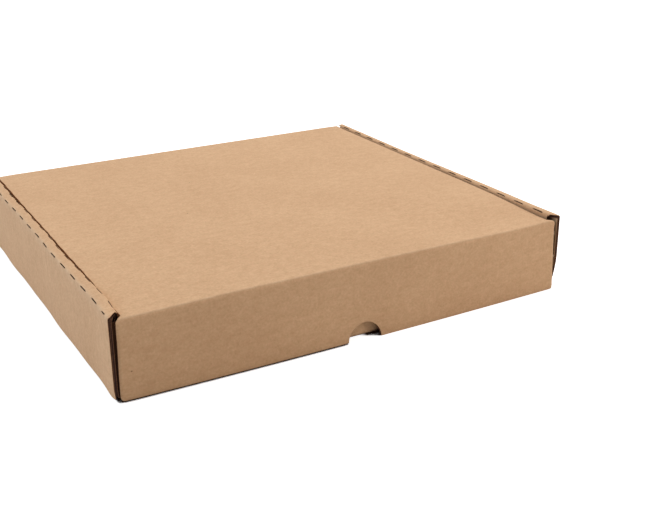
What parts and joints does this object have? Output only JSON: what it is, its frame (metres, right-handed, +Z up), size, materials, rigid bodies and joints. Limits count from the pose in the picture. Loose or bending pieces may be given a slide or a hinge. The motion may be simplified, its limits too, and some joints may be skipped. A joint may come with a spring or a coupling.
{
  "type": "pizza box",
  "caption": "Shallow folding pizza box of brown corrugated board, with roll-over perforated side walls, a hinged lid and a front flap with a half-round thumb notch.",
  "frame": {"origin": "middle of the footprint, on the floor the box stands on", "axes": "+X to the right along the front, +Y from the front flap to the hinged back, +Z up through the lid"},
  "size_m": [0.32, 0.295, 0.054],
  "materials": {
    "kraft_board": "matt uncoated brown kraft liner with fine fibre flecks, corrugated medium showing at cut edges"
  },
  "bodies": {
    "tray": {"tray": "kraft_board"},
    "lid": {"lid": "kraft_board"},
    "front_flap": {"front_flap": "kraft_board"}
  },
  "joints": [
    {"name": "lid_hinge", "type": "hinge", "parent": "tray", "child": "lid", "pos_m": [0, 0.14465, 0.05265], "axis": [-1, 0, 0], "range_deg": [0, 180]},
    {"name": "front_flap_hinge", "type": "hinge", "parent": "lid", "child": "front_flap", "pos_m": [0, -0.14419, 0.05267], "axis": [-1, 0, 0], "range_deg": [0, 90]}
  ]
}
